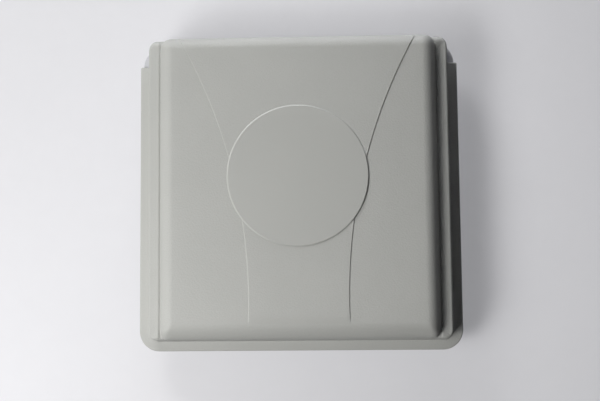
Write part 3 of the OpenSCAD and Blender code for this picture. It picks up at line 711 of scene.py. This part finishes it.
# %% Plastics, rubber and metals
grained = finish("radome_grained", (0.365, 0.37, 0.35), (0.435, 0.44, 0.415), (0.56, 0.66),
                 grain_group, 680.0, 0.9, depth=0.0003)
smooth = finish("radome_smooth", (0.38, 0.385, 0.364), (0.42, 0.425, 0.40), (0.50, 0.58),
                grain_group, 1500.0, 0.2)
finishes = {
    "plate": finish("plate_aluminium", (0.48, 0.49, 0.51), (0.64, 0.65, 0.67), (0.42, 0.56),
                    lines_group, 30.0, 0.12, 0.3),
    "seal": finish("seal_rubber", (0.015, 0.015, 0.015), (0.035, 0.034, 0.033), (0.65, 0.8),
                   grain_group, 1200.0, 0.3),
    "fastener": finish("screw_steel", (0.38, 0.38, 0.37), (0.58, 0.58, 0.56), (0.22, 0.36),
                       lines_group, 160.0, 0.1, 1.0),
    "stud": finish("stud_steel", (0.42, 0.42, 0.41), (0.6, 0.6, 0.59), (0.26, 0.4),
                   lines_group, 120.0, 0.15, 1.0),
    "patch": finish("patch_sheet", (0.55, 0.56, 0.57), (0.68, 0.69, 0.7), (0.28, 0.4),
                    lines_group, 24.0, 0.1, 1.0),
    "nylon": finish("natural_nylon", (0.62, 0.61, 0.55), (0.72, 0.71, 0.65), (0.42, 0.55),
                    grain_group, 1100.0, 0.15),
    "brass": finish("machined_brass", (0.5, 0.36, 0.14), (0.66, 0.5, 0.23), (0.24, 0.38),
                    lines_group, 110.0, 0.12, 1.0),
    "solder": finish("tin_solder", (0.42, 0.42, 0.44), (0.62, 0.62, 0.64), (0.2, 0.34),
                     grain_group, 700.0, 0.2, 1.0),
    "nickel": finish("nickel_plate", (0.5, 0.49, 0.45), (0.66, 0.65, 0.6), (0.16, 0.28),
                     lines_group, 150.0, 0.08, 1.0),
    "insulator": finish("white_insulator", (0.74, 0.74, 0.72), (0.82, 0.82, 0.8), (0.38, 0.5),
                        grain_group, 1300.0, 0.1),
    "gold": finish("gold_plate", (0.62, 0.43, 0.14), (0.78, 0.58, 0.24), (0.18, 0.28),
                   lines_group, 180.0, 0.08, 1.0),
    "vent": finish("black_nylon", (0.012, 0.012, 0.012), (0.03, 0.03, 0.03), (0.45, 0.58),
                   grain_group, 1100.0, 0.25),
    "membrane": finish("white_membrane", (0.7, 0.7, 0.69), (0.8, 0.8, 0.79), (0.7, 0.85),
                       grain_group, 1600.0, 0.4),
}
print("finishes:", len(finishes) + 2)

# %% Finishes on the pieces
slot_of = {row["node"]: row["material_slot"] for row in frame["record"]["subparts"]}
for node_name, node_object in frame["nodes"].items():
    node_object.data.materials.clear()
    node_finish = grained if slot_of[node_name] == "radome" else finishes[slot_of[node_name]]
    node_object.data.materials.append(node_finish)
for piece in bpy.data.objects:
    if piece.name.startswith("radome_"):
        piece.data.materials.append(smooth if piece.name == "radome_disc" else grained)
for piece in studs:
    piece.data.materials.append(finishes["stud"])
for piece in (connector_flange, connector_barrel):
    piece.data.materials.append(finishes["nickel"])
print("dressed nodes:", len(slot_of))

# %% [markdown]
# ## Floor, light and camera
# The panel lies on a plain pale floor that turns up into a round wall far out, so that a low view ends in
# the same pale tone. What the floor throws back at the panel is kept low, so that the walls stay dark on
# the side away from the lamps. Soft lamps on the left and at the top give the bright left and top edges,
# and a weak sky keeps the shadows open. The camera looks down from a little below the middle of the panel,
# at the distance and tilt at which its edges converge as they do in the photograph.

# %% Floor
FLOOR_R, FLOOR_BEND, FLOOR_WALL, FLOOR_POLE = 3.0, 1.2, 4.0, 0.001  # in metres
FLOOR_STEPS = 96


def cove(flat, bend, high, steps):
    """Turned profile of a studio cove: a level disc, a quarter round at its edge, then an upright wall."""
    angle = np.linspace(0.0, np.pi / 2, 12)
    quarter = np.stack([flat + bend * np.sin(angle), bend - bend * np.cos(angle)], axis=1)
    line = np.vstack([[[FLOOR_POLE, 0.0], [flat / 2.0, 0.0]], quarter, [[flat + bend, high]]])
    return turned(line[:, 0], line[:, 1], (0.0, 0.0), full_turn(steps))


floor_points = cove(FLOOR_R, FLOOR_BEND, FLOOR_WALL, FLOOR_STEPS)
floor_mesh = grid_mesh("floor", floor_points[::-1], wrap_rows=True, cap_columns=(0,))
floor = bpy.data.objects.new("floor", floor_mesh)
bpy.context.scene.collection.objects.link(floor)
print("floor normal up:", floor_mesh.polygons[0].normal.z > 0.0)

# %% Finish of the floor
FLOOR_BOUNCE, FLOOR_GLOW, DARK = (0.07, 0.07, 0.07, 1.0), (0.24, 0.24, 0.25, 1.0), (0.0, 0.0, 0.0, 1.0)
pale = finish("pale_floor", (0.46, 0.46, 0.47), (0.5, 0.5, 0.51), (0.75, 0.85), grain_group, 60.0, 0.02)
tree = pale.node_tree
shader = tree.nodes["Principled BSDF"]
ray = tree.nodes.new("ShaderNodeLightPath")
seen = math_node(tree, "ADD", ray.outputs["Is Camera Ray"], ray.outputs["Is Glossy Ray"])
seen = math_node(tree, "ADD", seen, ray.outputs["Is Transmission Ray"])
veil = tree.nodes.new("ShaderNodeMix")
veil.data_type = "RGBA"
veil.inputs["A"].default_value = FLOOR_BOUNCE
tree.links.new(seen, veil.inputs["Factor"])
tree.links.new(shader.inputs["Base Color"].links[0].from_socket, veil.inputs["B"])
tree.links.new(veil.outputs["Result"], shader.inputs["Base Color"])
glow = tree.nodes.new("ShaderNodeMix")
glow.data_type = "RGBA"
glow.inputs["A"].default_value = DARK
glow.inputs["B"].default_value = FLOOR_GLOW
tree.links.new(seen, glow.inputs["Factor"])
tree.links.new(glow.outputs["Result"], shader.inputs["Emission Color"])
shader.inputs["Emission Strength"].default_value = 1.0
floor.data.materials.append(pale)
print("floor finish:", pale.name)

# %% Light
AIM_H = 0.05  # height of the point at which the lamps aim, in metres
SKY_COLOUR, SKY_STRENGTH = (0.95, 0.97, 1.0, 1.0), 0.02


def lamp(name, turn_angle, height_angle, distance, size, power, colour, beam=180.0):
    """A rectangular lamp aimed at the panel: turn from +X, height and beam in degrees, lengths in metres."""
    around, above = math.radians(turn_angle), math.radians(height_angle)
    data = bpy.data.lights.new(name, "AREA")
    data.shape = "RECTANGLE"
    data.size, data.size_y = size
    data.energy, data.color, data.spread = power, colour, math.radians(beam)
    stand = bpy.data.objects.new(name, data)
    bpy.context.scene.collection.objects.link(stand)
    out, up = distance * math.cos(above), distance * math.sin(above)
    stand.location = (out * math.cos(around), out * math.sin(around), AIM_H + up)
    stand.rotation_euler = (math.pi / 2 - above, 0.0, around + math.pi / 2)
    print(name, "at", [round(value, 3) for value in stand.location])


lamp("left_light", 194.0, 42.0, 1.5, (0.7, 0.5), 8.4, (1.0, 0.995, 0.98))
lamp("near_light", 220.0, 44.0, 0.95, (0.35, 0.34), 5.5, (1.0, 0.99, 1.0))
lamp("top_light", 117.0, 24.0, 1.5, (0.58, 0.5), 2.5, (1.0, 0.995, 1.0), beam=80.0)
lamp("low_light", 86.0, 8.0, 1.5, (0.55, 0.45), 0.86, (0.93, 0.94, 1.0), beam=44.0)
world = bpy.data.worlds.new("soft_sky")
bpy.context.scene.world = world
world.use_nodes = True
sky = world.node_tree.nodes["Background"]
sky.inputs["Color"].default_value = SKY_COLOUR
sky.inputs["Strength"].default_value = SKY_STRENGTH
bpy.context.scene.view_settings.view_transform = "Standard"

# %% Camera
CAMERA_PLACE = (0.02111, -0.05754, 0.77883)  # in metres
CAMERA_TURN = (3.9946, 1.601, -0.5846)  # in degrees
view = bpy.data.cameras.new("camera")
view.sensor_width, view.lens = 36.0, 45.0
camera = bpy.data.objects.new("camera", view)
bpy.context.scene.collection.objects.link(camera)
camera.location = CAMERA_PLACE
camera.rotation_euler = tuple(math.radians(angle) for angle in CAMERA_TURN)
bpy.context.scene.camera = camera
print("camera at", [round(value, 4) for value in camera.location])
